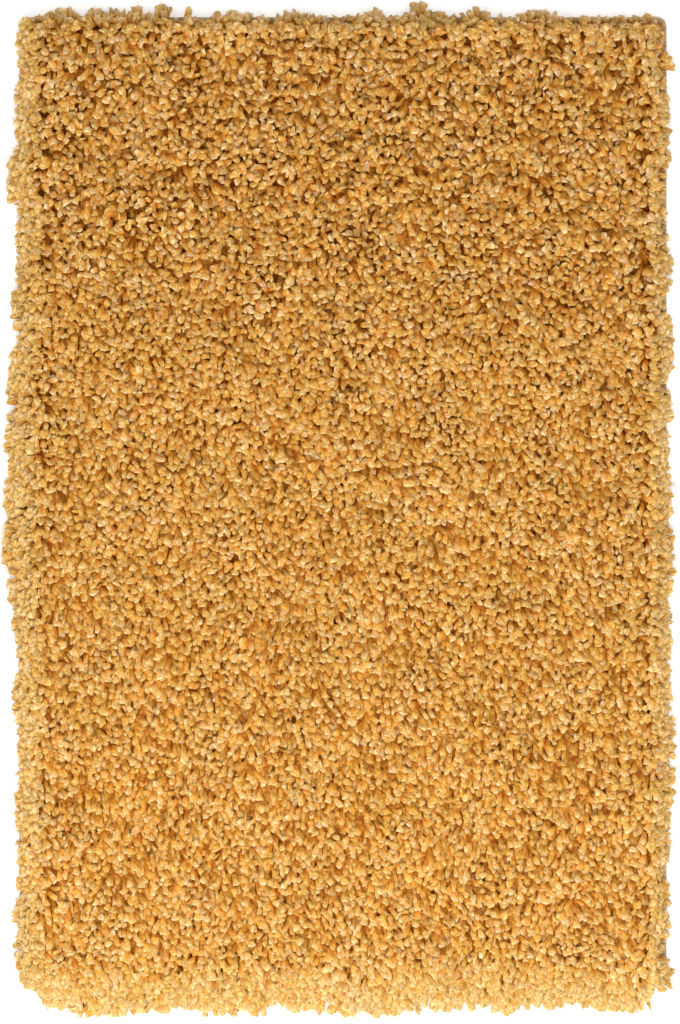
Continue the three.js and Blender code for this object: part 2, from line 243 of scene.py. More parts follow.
def yarn_finish(name, hues, depth_colours, sheen_colour, relief=1.6):
    material, tree = new_material(name)
    skin = add_node(tree, "ShaderNodeUVMap", uv_map="OFBake")
    split = add_node(tree, "ShaderNodeSeparateXYZ", {0: skin})
    sizes = {"X": TONE_COLUMNS, "Y": HUE_BANDS}
    cells, inside = {}, {}
    for axis, margin, length in zip("XY", CELL_MARGIN, (2 * math.pi, 1.0)):
        counted = {0: split.outputs[axis], 1: sizes[axis]}
        spread = add_node(tree, "ShaderNodeMath", counted, operation="MULTIPLY")
        cells[axis] = add_node(tree, "ShaderNodeMath", {0: spread}, operation="FLOOR")
        part = add_node(tree, "ShaderNodeMath", {0: spread}, operation="FRACT")
        ends = from_to(margin, 1 - margin, 0.0, length)
        inside[axis] = add_node(tree, "ShaderNodeMapRange", {"Value": part, **ends})
    around, along = inside["X"], inside["Y"]
    cosine = add_node(tree, "ShaderNodeMath", {0: around}, operation="COSINE")
    sine = add_node(tree, "ShaderNodeMath", {0: around}, operation="SINE")
    stretched = {0: along, 1: FIBRE_STRETCH, 2: cells["X"]}
    length_wise = add_node(tree, "ShaderNodeMath", stretched, operation="MULTIPLY_ADD")
    fibre_place = add_node(tree, "ShaderNodeCombineXYZ", {"X": cosine, "Y": sine, "Z": length_wise})
    grain = {"Vector": fibre_place, "Scale": FIBRE_SCALE, "Detail": 2.5, "Roughness": 0.7}
    fibres = add_node(tree, "ShaderNodeTexNoise", grain)
    hue_place = add_node(tree, "ShaderNodeMath", {0: cells["Y"], 1: 1 / HUE_BANDS}, operation="MULTIPLY")
    hue = add_node(tree, "ShaderNodeValToRGB", {"Fac": hue_place})
    hue.color_ramp.interpolation = "CONSTANT"
    hue_stops = [(max(0, number / HUE_BANDS - HUE_SLACK), colour) for number, colour in enumerate(hues)]
    # for the pile yarn these depth colours are painted shade, darker deep in the pile
    depth = add_node(tree, "ShaderNodeValToRGB", {"Fac": along})
    for ramp, stops in ((hue.color_ramp, hue_stops), (depth.color_ramp, depth_colours)):
        for number, (place, colour) in enumerate(stops):
            stop = ramp.elements[number] if number < 2 else ramp.elements.new(place)
            stop.position = place
            stop.color = linear(colour)
    tones = from_to(0, TONE_COLUMNS - 1, DARKEST_TONE, LIGHTEST_TONE)
    tone = add_node(tree, "ShaderNodeMapRange", {"Value": cells["X"], **tones})
    streaks = {"Value": fibres, **from_to(*STREAK_RANGE, *STREAK_SHADES)}
    streak = add_node(tree, "ShaderNodeMapRange", streaks)
    # painted shade on the yarn's sides, where it touches its neighbours and little light comes in
    sideways = add_node(tree, "ShaderNodeMath", {0: cosine}, operation="ABSOLUTE")
    flank_shade_ends = {"Value": sideways, **from_to(FLANK_FROM, 1.0, 1.0, FLANK_PAINTED_SHADE)}
    flank_shade = add_node(tree, "ShaderNodeMapRange", flank_shade_ends, interpolation_type="SMOOTHSTEP")
    lit = add_node(tree, "ShaderNodeMath", {0: streak, 1: flank_shade}, operation="MULTIPLY")
    shade = add_node(tree, "ShaderNodeMath", {0: tone, 1: lit}, operation="MULTIPLY")
    paled = add_node(tree, "ShaderNodeVectorMath", {0: shade, 1: PALING}, operation="POWER")
    plain = add_node(tree, "ShaderNodeVectorMath", {0: hue, 1: depth}, operation="MULTIPLY")
    dyed = add_node(tree, "ShaderNodeVectorMath", {0: plain, 1: paled}, operation="MULTIPLY")
    twisted = {0: along, 1: TWIST_TURNS * 2 * math.pi, 2: around}
    ply_place = add_node(tree, "ShaderNodeMath", twisted, operation="MULTIPLY_ADD")
    wave = add_node(tree, "ShaderNodeMath", {0: ply_place}, operation="SINE")
    plies = add_node(tree, "ShaderNodeMath", {0: wave}, operation="ABSOLUTE")
    # painted shade in the groove where the two plies meet
    grooves = {"Value": plies, **from_to(0.0, GROOVE_WIDTH, GROOVE_PAINTED_SHADE, 1.0)}
    groove = add_node(tree, "ShaderNodeMapRange", grooves, interpolation_type="SMOOTHSTEP")
    grooved = add_node(tree, "ShaderNodeVectorMath", {0: dyed, "Scale": groove}, operation="SCALE")
    height = add_node(tree, "ShaderNodeMath", {0: plies, 1: PLY_RELIEF, 2: fibres}, operation="MULTIPLY_ADD")
    bump = add_node(tree, "ShaderNodeBump", {"Height": height, "Strength": 1.0, "Distance": relief * MM})
    surface = add_node(
        tree,
        "ShaderNodeBsdfPrincipled",
        {
            "Base Color": grooved,
            "Roughness": 0.85,
            "Specular IOR Level": 0.15,
            "Sheen Weight": 0.35,
            "Sheen Roughness": 0.6,
            "Sheen Tint": linear(sheen_colour),
            "Normal": bump,
        },
    )
    add_node(tree, "ShaderNodeOutputMaterial", {"Surface": surface})
    return material


yarn = yarn_finish("polyester_shag_yarn", HUES, DEPTH_SHADE_COLOURS, "#ffae40")
print("yarn skins:", TONE_COLUMNS * HUE_BANDS)

# %% [markdown]
# ## One yarn, modelled
# Each yarn is a soft bundle whose cut end opens like a small brush. More than twenty thousand of them can't
# each have many faces, so a yarn is a five-sided tube of a few rings and a tip. A particle system would make
# hairs of this kind, but not with brushed, crooked ends. Here the yarn is modelled standing straight, one
# unit long: a filled circle is extruded ring by ring, each ring is widened or pressed flat, and the last is
# merged to one point a little off the middle, as scissors leave it. Four forms are enough, because every copy
# will be turned, bent and sized by itself.

# %% Model the yarn forms
YARN_SIDES = 5
YARN_FORMS = {  # rings: how far up, then width and thickness as shares of the yarn's; and the tip's shift
    "blunt": ([(0, 0.8, 0.8), (0.6, 0.9, 0.85), (0.94, 1.6, 0.7)], 0.3),
    "brushed": ([(0, 0.8, 0.8), (0.5, 0.85, 0.85), (0.82, 1.3, 0.8), (0.96, 1.75, 0.55)], -0.4),
    "pointed": ([(0, 0.8, 0.8), (0.55, 0.9, 0.85), (0.84, 1.5, 0.8), (0.95, 1.2, 0.55)], 0.2),
    "pinched": ([(0, 0.8, 0.8), (0.6, 0.75, 0.75), (0.86, 1.4, 0.75), (0.97, 1.6, 0.5)], 0.5),
}


def model_yarn(name, rings, tip_shift, sides=YARN_SIDES):
    bpy.ops.object.select_all(action="DESELECT")
    bpy.ops.mesh.primitive_circle_add(vertices=sides, radius=1, fill_type="NGON", location=(0, 0, 0))
    form = bpy.context.object
    form.name = "form_" + name
    bpy.ops.object.mode_set(mode="EDIT")
    bpy.ops.mesh.select_all(action="SELECT")
    below = (0.0, 1.0, 1.0)
    for ring in rings:
        if ring[0] > 0:
            rise = (0, 0, ring[0] - below[0])
            bpy.ops.mesh.extrude_region_move(TRANSFORM_OT_translate={"value": rise})
        bpy.ops.transform.resize(
            value=(ring[1] / below[1], ring[2] / below[2], 1), center_override=(0, 0, ring[0])
        )
        below = ring
    tip = (tip_shift, 0, 1 - below[0])
    bpy.ops.mesh.extrude_region_move(TRANSFORM_OT_translate={"value": tip})
    bpy.ops.mesh.merge(type="CENTER")
    bpy.ops.mesh.select_all(action="SELECT")
    bpy.ops.mesh.normals_make_consistent(inside=False)
    bpy.ops.object.mode_set(mode="OBJECT")
    return form


forms = [model_yarn(name, *shape) for name, shape in YARN_FORMS.items()]
for form in forms:
    print(form.name, len(form.data.vertices), "points,", len(form.data.polygons), "faces")

# %% [markdown]
# ## Copies along curved lines
# A modifier can bend one object, but not thousands. So each form is read once as arrays: the place of every
# point round and along the yarn, and every face. numpy then bends all copies at the same time. A yarn is
# followed in short steps whose angle from upright grows from its root to its tip, so it keeps its true
# length however far it leans.

# %% Read the forms as arrays
PATCH_MIDDLE = (0.5, 0.04)  # round and along, of the small patch of skin on the root's end
PATCH_SIZE = (0.3, 0.03)


def read_form(form):
    mesh = form.data
    points = np.array([v.co for v in mesh.vertices])
    corners = np.array([loop.vertex_index for loop in mesh.loops])
    sizes = np.array([face.loop_total for face in mesh.polygons])
    face_of = np.repeat(np.arange(len(sizes)), sizes)
    turned = np.arctan2(points[:, 1], points[:, 0]) / (2 * math.pi) % 1
    around = turned[corners]
    along = points[corners, 2]
    for face in range(len(sizes)):
        its = face_of == face
        ends = its & (along >= 1)
        if along[its].max() <= 0:  # the root's end
            direction = 2 * math.pi * turned[corners[its]]
            around[its] = PATCH_MIDDLE[0] + PATCH_SIZE[0] * np.cos(direction)
            along[its] = PATCH_MIDDLE[1] + PATCH_SIZE[1] * np.sin(direction)
            continue
        sides = its & ~ends
        if np.ptp(around[sides]) > 0.5:  # the face that closes the round
            around[sides & (around < 0.5)] += 1
        around[ends] = around[sides].mean()
    return {"points": points, "corners": corners, "sizes": sizes, "around": around, "along": along}


read_forms = [read_form(form) for form in forms]
for form in forms:
    bpy.data.objects.remove(form)
triangles_each = [int((shape["sizes"] - 2).sum()) for shape in read_forms]
print("triangles a yarn:", triangles_each)

# %% [markdown]
# ## Where each yarn stands and how it leans
# The loom ties yarns in rows, so roots stand on a slightly uneven grid. Above it nothing is regular: the pile
# has a nap that was brushed towards the near end, broad drifts where feet and packing pushed it, small
# clumps whose tips cling together with a dark gap between one and the next, and yarns along the edges that
# fall outwards. Each of these adds to one arrow for each yarn, from over its root to its tip.

# %% Stand the yarns in rows
SEED = 7
ROW_STEP = 5.0  # mm between rows
STITCH_STEP = 4.9  # mm between yarns in a row
ROOT_INSET = 7.0  # mm from the cloth's edge to the outermost roots
ROOT_UNEVEN = 1.0  # mm
CLOTH_TOP = 3.2  # mm, where the yarns leave the weave

rng = np.random.default_rng(SEED)
half = np.array([CLOTH_WIDTH, CLOTH_LENGTH]) / 2
columns = int((CLOTH_WIDTH - 2 * ROOT_INSET) / STITCH_STEP) + 1
rows = int((CLOTH_LENGTH - 2 * ROOT_INSET) / ROW_STEP) + 1
grid_x, grid_y = np.meshgrid(
    np.linspace(ROOT_INSET - half[0], half[0] - ROOT_INSET, columns),
    np.linspace(ROOT_INSET - half[1], half[1] - ROOT_INSET, rows),
)
grid_x[::2] += STITCH_STEP / 4
grid_x[1::2] -= STITCH_STEP / 4
root = np.stack([grid_x.ravel(), grid_y.ravel()], 1)
root += rng.normal(0, ROOT_UNEVEN, root.shape)
field_count = len(root)
print("yarns in the field:", field_count, "in", rows, "rows of", columns)

# %% [markdown]
# Closer rows run along each edge, as on a real rug, where they hide the binding. The near end has the most,
# because its yarns lie far out and are spread thin.

# %% Add the edge rows
EDGE_ROW_INSETS = {  # mm from the cloth's edge
    "bottom": [5.8, 7.4, 9.4, 12, 15, 19, 24, 29],
    "right": [5.8, 7.8, 10.4, 14],
    "top": [5.8, 7.2, 9.2, 12, 15],
    "left": [5.8, 7.2, 9.2, 12, 16],
}
EDGE_ROW_STEP = 3.8  # mm
EDGE_ROW_UNEVEN = 0.6  # mm

edge_rows = []
for side, out in SIDES.items():
    out = np.array(out)
    go = np.array([-out[1], out[0]])
    across = half @ np.abs(out)
    run = half @ np.abs(go) - ROOT_INSET
    for inset in EDGE_ROW_INSETS[side]:
        along = np.arange(-run, run, EDGE_ROW_STEP) + rng.uniform(0, EDGE_ROW_STEP)
        along = along[along < run]
        row = np.outer(along, go) + out * (across - inset)
        edge_rows.append(row + rng.normal(0, EDGE_ROW_UNEVEN, row.shape))
root = np.concatenate([root, *edge_rows])
count = len(root)
print("yarns in the edge rows:", count - field_count)

# %% [markdown]
# The broad drifts come from smooth random fields, each a sum of a few waves in random directions. That is
# simple, has no grid of its own and is the same on every run, because the random numbers are seeded. The far
# end, where such a rug is rolled up first, is the wildest.

# %% Lean and drift


def drift(place, size, waves=18):
    turn = rng.uniform(0, 2 * math.pi, waves)
    phase = rng.uniform(0, 2 * math.pi, waves)
    pace = 2 * math.pi / (size * rng.uniform(0.7, 1.5, waves))
    swing = place[:, :1] * (pace * np.cos(turn)) + place[:, 1:] * (pace * np.sin(turn))
    return np.cos(swing + phase).sum(1) * math.sqrt(2 / waves)


YARN_LENGTH = 30  # mm
LENGTH_UNEVEN = 1.0  # mm
LENGTH_DRIFT, LENGTH_DRIFT_SIZE = 0.8, 24  # mm
NAP = np.array([1.0, -15.5])  # mm that the tips lie off their roots
BROAD_DRIFT, BROAD_SIZE = 3.0, 80  # mm
FINE_DRIFT, FINE_SIZE = 3.0, 20  # mm
SINGLE_DRIFT = 4.0  # mm
UNREST = ([-1, 0.3, 0.7, 1], [0.85, 0.9, 1.5, 1.5])  # places from near to far end, and how wild it is there
FAR_FROM = -0.4  # place where the far end's looks begin
FAR_UPRIGHT = 0.3  # share of the nap that the far end has lost
DIPS, DIP_SIZE = 4.5, 28  # mm that the pile sinks here and there, most of all at the far end
DIP_CALM, DIP_LIMIT = 0.7, 0.5  # unrest where there are none, and how little the pile rises between them

unrest = np.interp(root[:, 1] / half[1], *UNREST)
far = np.clip(root[:, 1] / half[1] - FAR_FROM, 0, 1)
arrow = NAP * (1 - FAR_UPRIGHT * far)[:, None]
for part in range(2):
    arrow[:, part] += BROAD_DRIFT * drift(root, BROAD_SIZE)
    arrow[:, part] += FINE_DRIFT * drift(root, FINE_SIZE) * unrest
arrow += rng.normal(0, SINGLE_DRIFT, arrow.shape) * unrest[:, None]
length = YARN_LENGTH + LENGTH_DRIFT * drift(root, LENGTH_DRIFT_SIZE) + rng.normal(0, LENGTH_UNEVEN, count)
dip = (unrest - DIP_CALM) * np.minimum(drift(root, DIP_SIZE), DIP_LIMIT)
length += DIPS * dip
print("mean lean, mm:", arrow.mean(0).round(1), "spread:", arrow.std(0).round(1))

# %% [markdown]
# Two tips can't be in one place. After drifting they are, so each pushes away those that are closer than its
# own width, a few times over, as real yarns make room for each other.

# %% Let the tips make room
TIP_ROOM = 6.2  # mm that a tip, lying over, takes up
ROOM_ROUNDS = 12
ROOM_NEIGHBOURS = 8
ROOM_GIVE = 0.8  # how much of the way they go in one round
TIP_MIDDLE = 0.8  # how far along its arrow the middle of a lying tip is

middle = root + arrow * TIP_MIDDLE
for _ in range(ROOM_ROUNDS):
    tree = kdtree.KDTree(count)
    for number, (x, y) in enumerate(middle):
        tree.insert((x, y, 0), number)
    tree.balance()
    near = np.array([[found[1] for found in tree.find_n((x, y, 0), ROOM_NEIGHBOURS)] for x, y in middle])
    away = middle[:, None] - middle[near]
    gap = np.linalg.norm(away, axis=2) + NOT_ZERO
    shove = np.clip(TIP_ROOM - gap, 0, None) / gap / 2
    middle += ROOM_GIVE * (away * shove[:, :, None]).sum(1)
arrow = (middle - root) / TIP_MIDDLE
print("longest lean, mm:", round(float(np.hypot(*arrow.T).max()), 1))

# %% [markdown]
# Then neighbours cling: three to six cut ends close up to one bright tuft, and a thin dark line stays
# between it and the next.

# %% Pull the tips into tufts
TUFT_STEP = 11.5  # mm
TUFT_UNEVEN = 0.35  # of a step
TUFT_PULL = 0.2  # share of the way to the tuft's middle
TUFT_PULL_RANGE = (0.3, 1.5)  # how differently its tips follow
TUFT_LENGTH_UNEVEN = 1.1  # mm

tuft_columns = int(CLOTH_WIDTH / TUFT_STEP) + 5
tuft_rows = int(CLOTH_LENGTH / TUFT_STEP) + 7
tuft_x, tuft_y = np.meshgrid(
    (np.arange(tuft_columns) - tuft_columns / 2) * TUFT_STEP,
    (np.arange(tuft_rows) - tuft_rows / 2) * TUFT_STEP,
)
tuft = np.stack([tuft_x.ravel(), tuft_y.ravel()], 1)
tuft += rng.normal(0, TUFT_UNEVEN * TUFT_STEP, tuft.shape)
tree = kdtree.KDTree(len(tuft))
for number, place in enumerate(tuft):
    tree.insert((place[0], place[1], 0), number)
tree.balance()
tip = root + arrow
nearest = np.array([tree.find((x, y, 0))[1] for x, y in tip])
arrow += (tuft[nearest] - tip) * TUFT_PULL * rng.uniform(*TUFT_PULL_RANGE, (count, 1))
length += rng.normal(0, TUFT_LENGTH_UNEVEN, len(tuft))[nearest]
print("tufts:", len(np.unique(nearest)))

# %% [markdown]
# ## Partings
# Here and there the pile opens where it was folded or brushed two ways, and a deep shadow shows. The far
# third of the rug has the most and the deepest ones. They are what the eye remembers of this rug, so they
# aren't left to chance but listed one by one, each with its turn, its length and how wide it opens.

# %% Open the partings
PARTINGS = [  # x and y from the cloth's middle in mm, turn in degrees, length and width in mm
    (233, 361, 100, 24, 13),
    (229, 381, 110, 14, 9),
    (-151, 303, 20, 14, 12),
    (-68, 395, 100, 14, 11),
    (-12, 394, 60, 16, 11),
    (45, 375, 120, 14, 11),
    (-246, 394, 5, 42, 10),
    (175, 358, 60, 14, 11),
    (-154, 208, 150, 26, 12),
    (-110, 222, 20, 40, 8),
    (138, 185, 30, 18, 11),
    (152, 298, 80, 20, 11),
    (113, 270, 140, 30, 10),
    (229, 256, 155, 44, 10),
    (270, 391, 90, 16, 10),
    (257, 377, 40, 12, 9),
    (277, 326, 100, 22, 11),
    (2, 282, 10, 16, 10),
    (69, 307, 130, 16, 10),
    (71, 273, 10, 14, 9),
    (18, 343, 45, 14, 10),
    (-26, 347, 120, 12, 9),
    (-137, 361, 15, 24, 10),
    (-186, 303, 160, 20, 10),
    (-112, 331, 50, 16, 9),
    (-195, 233, 100, 18, 10),
    (-232, 213, 30, 16, 9),
    (-91, 257, 120, 20, 9),
    (-100, 176, 15, 18, 10),
    (110, 145, 150, 18, 9),
    (-137, 409, 175, 84, 8),
    (57, 405, 5, 46, 8),
    (169, 256, 10, 40, 8),
    (-65, 52, 152, 58, 9),
    (60, 57, 170, 32, 8),
    (50, 28, 5, 66, 8),
    (238, 85, 20, 18, 9),
    (155, 162, 0, 14, 9),
    (2, -68, 20, 20, 9),
    (-61, -54, 150, 18, 9),
    (45, -72, 160, 22, 8),
    (-232, -93, 30, 18, 9),
    (-257, -142, 80, 20, 9),
    (-169, -144, 150, 22, 8),
    (-61, -146, 145, 18, 8),
    (113, -123, 10, 24, 8),
    (203, -125, 170, 16, 9),
    (175, -171, 30, 18, 8),
    (-86, -213, 140, 22, 9),
    (-149, -230, 150, 16, 8),
    (224, -241, 10, 20, 9),
    (-244, -273, 40, 20, 9),
    (-126, -294, 160, 16, 9),
    (44, -290, 30, 16, 8),
    (147, -318, 10, 18, 8),
    (-94, -329, 120, 16, 8),
    (-260, -345, 20, 30, 9),
    (55, -347, 0, 16, 8),
    (171, -375, 3, 86, 8),
    (-267, -435, 30, 16, 9),
    (212, -433, 5, 30, 8),
    (284, -429, 90, 16, 8),
]
PARTING_PULL = 0.3  # how far the tips beside it move, as a share of its width
PARTING_SINK = 0.6  # how much shorter a yarn stands there, as a share of its move

tip = root + arrow
for x, y, parting_turn, run, width in PARTINGS:
    go = np.array([math.cos(math.radians(parting_turn)), math.sin(math.radians(parting_turn))])
    off = tip - np.array([x, y])
    beside = off - np.outer(np.clip(off @ go, -run / 2, run / 2), go)
    distance = np.linalg.norm(beside, axis=1) + NOT_ZERO
    moved = PARTING_PULL * width * np.exp(-((distance / width) ** 2))
    arrow += beside / distance[:, None] * moved[:, None]
    length -= PARTING_SINK * moved
print("partings:", len(PARTINGS), "longest lean, mm:", round(float(np.hypot(*arrow.T).max()), 1))

# %% [markdown]
# ## The edges
# The outermost yarns have no neighbour to lean on, so they fall over the binding, and the rows behind them
# follow, each a little less. Their tips then lie like shingles, from far out on the floor back up to the
# field. They could be given a random lean, but then long bare shafts would show between tips. So the rows are
# counted inwards from the edge, and each gets its own even share of the way from the rim back to the field.
#
# How far the rim reaches is read from the frame's pile: its outline gives it clump by clump along each side.
# On the far end and down from its right corner the nap leans away from the edge, so there the binding stays
# bare between two clumps. Two lone tufts stand out over bare binding, one at the far end and one on the
# right.

# %% Lean out over the edges
EDGE_WIDTH = {"bottom": 36, "right": 22, "top": 17, "left": 28}  # mm of cloth whose yarns follow the edge
EDGE_UNEVEN = 2.0  # mm that a tip lies off its place, and the most by which it passes the outline
EDGE_SPREAD = 0.22  # sideways, as a share of the lean outwards
BARE_BELOW = 2.0  # mm of reach under which a stretch shows its binding
BARE_REACH = {"bottom": 1, "right": -6, "top": -2.5, "left": 0}  # mm past the edge that tips get there
BARE_UNEVEN = 1.5  # mm
BARE_SIZE = 12  # mm of edge over which that changes
OUTLINE_STEP = 4  # mm
OUTLINE_DEPTH = -1.5  # mm past the edge from which points count as outline
TONGUE_TOP = BINDING_TOP - 1  # mm, above the part of the cloth that the bindings hold

pile_points = np.array([v.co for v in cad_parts["pile_cloth"].data.vertices]) / MM
pile_points = pile_points[pile_points[:, 2] > TONGUE_TOP, :2] - CLOTH_MIDDLE


def outline_reach(side, place):
    out = np.array(SIDES[side])
    along_axis = 1 if out[0] else 0
    past = pile_points @ out - half[1 - along_axis]
    near = past > OUTLINE_DEPTH
    stations = np.round(pile_points[near, along_axis] / OUTLINE_STEP).astype(int)
    reach = {}
    for station, value in zip(stations, past[near]):
        reach[station] = max(reach.get(station, value), value)
    known = np.array(sorted(reach))
    return np.interp(place / OUTLINE_STEP, known, [reach[k] for k in known])


LONE_TUFTS = [("top", -146, 12, 5), ("right", 408, 8, 9)]  # side, then place, reach and width in mm
LONE_TUFT_ROOM = 16  # mm on each side of it that stay bare
LONE_TUFT_DEPTH = 9  # mm from the edge to its innermost root
NAP_LOST = 0.75  # share of the lean along the edge that the outermost yarns lose
RIM_DEPTH = 9  # mm of tips that stand free at the rim

edge_weight = np.zeros(count)
edge_weights, rim_weights = {}, {}
edge_reach = {}
for side, out in SIDES.items():
    out = np.array(out)
    along_axis = 1 if out[0] else 0
    inset = half[1 - along_axis] - root @ out
    width = EDGE_WIDTH[side]
    weight = np.clip(2 - 2 * inset / width, 0, 1)  # in full over the outer half of the width
    field_rows = np.arange(ROOT_INSET, width, STITCH_STEP if out[0] else ROW_STEP)
    row_insets = np.sort([*EDGE_ROW_INSETS[side], *field_rows])
    row_number = np.interp(inset, row_insets, np.arange(len(row_insets)))
    reach = outline_reach(side, root[:, along_axis])
    bare = BARE_REACH[side] + BARE_UNEVEN * drift(root, BARE_SIZE)
    reach = np.where(reach < BARE_BELOW, bare, reach)
    for tuft_side, place, tuft_reach, width_there in LONE_TUFTS:
        if side == tuft_side:
            off = np.abs(root[:, along_axis] - place)
            reach = np.where(off < LONE_TUFT_ROOM, np.minimum(reach, bare), reach)
            reach = np.where((off < width_there / 2) & (inset < LONE_TUFT_DEPTH), tuft_reach, reach)
    apart = (reach + width - NAP @ out) / len(row_insets)
    shifted = apart * row_number + rng.normal(0, EDGE_UNEVEN, count)
    wanted = inset + reach - np.maximum(shifted, -1)
    beside = np.abs(out[::-1])
    sideways = rng.normal(0, EDGE_SPREAD, count) * wanted - NAP_LOST * (arrow @ beside)
    arrow += np.outer(sideways * weight, beside) + np.outer((wanted - arrow @ out) * weight, out)
    too_far = (root + arrow) @ out - half[1 - along_axis] - reach - EDGE_UNEVEN
    arrow -= np.outer(np.clip(too_far, 0, None), out)
    edge_reach[side] = reach
    edge_weights[side] = weight
    edge_weight = np.maximum(edge_weight, weight)
    rim_weights[side] = np.clip(1.5 - shifted / RIM_DEPTH, 0, 1) * (weight > 0)  # in full on its outer half
print("yarns near an edge:", int((edge_weight > 0.3).sum()))

# %% [markdown]
# ## Bending
# Each yarn now has its arrow and its length. It stands up among its neighbours and then lies over, so its
# angle from upright grows from nothing at the root to that of its end. How early it starts to lean decides
# how far it gets: that is found by halving, for all yarns at once, so that each tip lands at the end of its
# arrow. The heights are then evened out a little, because the pile was sheared level and a leaning yarn lies
# on its neighbours. At the edge the pile rounds off to the floor: tips come to rest on that round, and shafts
# stay under the tips of the rows behind them.

# %% Bend the yarns
STEPS = 16  # short straight pieces of a yarn
HALVINGS = 16
LEAN_LIMIT = 0.8  # a yarn leans by this share of its length at most
END_ANGLE, END_ANGLE_UNEVEN = 94, 12  # degrees from upright
FAR_ANGLE = 8  # degrees less at the far end
EDGE_ANGLE = 30  # degrees more at the edge
EDGE_ROUND = 16  # mm inside the cloth's edge where the pile starts to round off
RIM_HEIGHT = 3.0  # mm of the pile at its outer rim
TIP_LAYER, TIP_RUN = 4.5, 4.0  # mm that a shaft soon dives under the next tips, and over what run
SHINGLE_DEPTH = 6  # mm more at its root end
CAP_EASE = 40  # mm by which that is let go where the yarns no longer follow the edge
LEVEL = 26  # mm, about which the pile was sheared
LEVELLING = 0.1  # how far that evens out the heights of its tips
LEVELLING_LIMITS = (0.7, 1.5)
CEILING, CEILING_SOFT = 30, 3  # mm, where the longest ones stop
EARLY, LATE = 0.5, 6.0  # limits of the power that says where along the yarn the bend comes
CURL = math.radians(50)  # sideways turn of a yarn from root to tip
TIP_TURN = math.radians(22)  # sideways turn of its last quarter alone
TIP_TURN_FROM, TIP_TURN_RUN = 0.7, 0.2  # where that turn begins and how long it takes, as shares of the yarn
YARN_THICKNESS = 5.1  # mm
THICKNESS_UNEVEN, THICKNESS_LIMITS = 0.15, (0.7, 1.35)  # shares of it
NEAR_THICKNESS = 0.88  # of that at the near end, where the yarns lie closest
FLOOR_GAP = 0.3  # mm
STITCH_ROOM = 0.9  # mm that the binding's stitches stand over it
ROUND_BY = 0.25  # share of a yarn's length by which it lies on its own full thickness
BINDING_PROFILE = [-9, -6, 0.6, 2.5]  # mm past the edge: where yarns on it rise from and to, and fall

share = np.arange(STEPS + 1) / STEPS
middle_share = (share[1:] + share[:-1]) / 2
end_angle = END_ANGLE - FAR_ANGLE * far + rng.normal(0, END_ANGLE_UNEVEN, count) + EDGE_ANGLE * edge_weight
end_angle = np.radians(end_angle)
lie = np.hypot(*arrow.T)
length = np.maximum(length, lie / LEAN_LIMIT)
low, high = np.full(count, EARLY), np.full(count, LATE)
for _ in range(HALVINGS):
    power = (low + high) / 2
    reached = np.sin(end_angle[:, None] * middle_share ** power[:, None]).mean(1) * length
    low = np.where(reached > lie, power, low)
    high = np.where(reached > lie, high, power)
heading = np.arctan2(arrow[:, 1], arrow[:, 0])
curl = rng.normal(0, CURL, count)
angle = end_angle[:, None] * middle_share ** power[:, None]
tip_turn = rng.normal(0, TIP_TURN, count)
turn = heading[:, None] + curl[:, None] * (middle_share - 0.5)
turn += tip_turn[:, None] * np.clip((middle_share - TIP_TURN_FROM) / TIP_TURN_RUN, 0, 1)
step = (length / STEPS)[:, None]
moves = np.stack([np.sin(angle) * np.cos(turn), np.sin(angle) * np.sin(turn), np.cos(angle)], 2)
line = np.zeros((count, STEPS + 1, 3))
line[:, 0, :2] = root
line[:, 0, 2] = CLOTH_TOP
line[:, 1:] = line[:, :1] + np.cumsum(moves * step[:, :, None], 1)
rise = line[:, :, 2] - CLOTH_TOP
level = LEVEL - CLOTH_TOP
levelled = (level + (rise[:, -1] - level) * (1 - LEVELLING)) / np.maximum(rise[:, -1], 1)
rise *= np.clip(levelled, *LEVELLING_LIMITS)[:, None]
top = CEILING - CLOTH_TOP
rise = np.where(rise > top, top + CEILING_SOFT * np.tanh((rise - top) / CEILING_SOFT), rise)
line[:, :, 2] = CLOTH_TOP + rise
thick = YARN_THICKNESS * rng.normal(1, THICKNESS_UNEVEN, count).clip(*THICKNESS_LIMITS)
thick *= np.interp(root[:, 1] / half[1], [-1, 0], [NEAR_THICKNESS, 1])


def pile_round(place):
    height = np.full(place.shape[:2], float(LEVEL))
    for side, out in SIDES.items():
        past = place @ np.array(out) - half @ np.abs(out)
        fall = np.clip((past + EDGE_ROUND) / (edge_reach[side][:, None] + EDGE_ROUND), 0, 1)
        height = np.minimum(height, RIM_HEIGHT + (LEVEL - RIM_HEIGHT) * (1 - fall**2))
    return height


by_edge = edge_weight[:, None]
drop = pile_round(line[:, -1:, :2]) - line[:, -1:, 2]
line[:, :, 2] += drop * by_edge * share**2
from_tip = length[:, None] * (1 - share)
cap = pile_round(line[:, :, :2]) - TIP_LAYER * (1 - np.exp(-from_tip / TIP_RUN)) - SHINGLE_DEPTH * (1 - share)
capped = np.minimum(line[:, :, 2], cap + CAP_EASE * (1 - by_edge))
line[:, :, 2] = np.where(by_edge > 0, capped, line[:, :, 2])


def lying_height(place):
    past = np.max(np.abs(place) - half, axis=-1)
    over = BINDING_TOP + STITCH_ROOM
    return np.interp(past, BINDING_PROFILE, [CLOTH_TOP, over, over, FLOOR_GAP])


resting = lying_height(line[:, :, :2]) + thick[:, None] / 2 * np.minimum(1, share / ROUND_BY)
line[:, :, 2] = np.maximum(line[:, :, 2], resting)
moves = np.diff(line, axis=1)
moves /= np.linalg.norm(moves, axis=2, keepdims=True) + BARELY
print("tips, mm above the floor:", np.percentile(line[:, -1, 2], [5, 50, 95]).round(1))

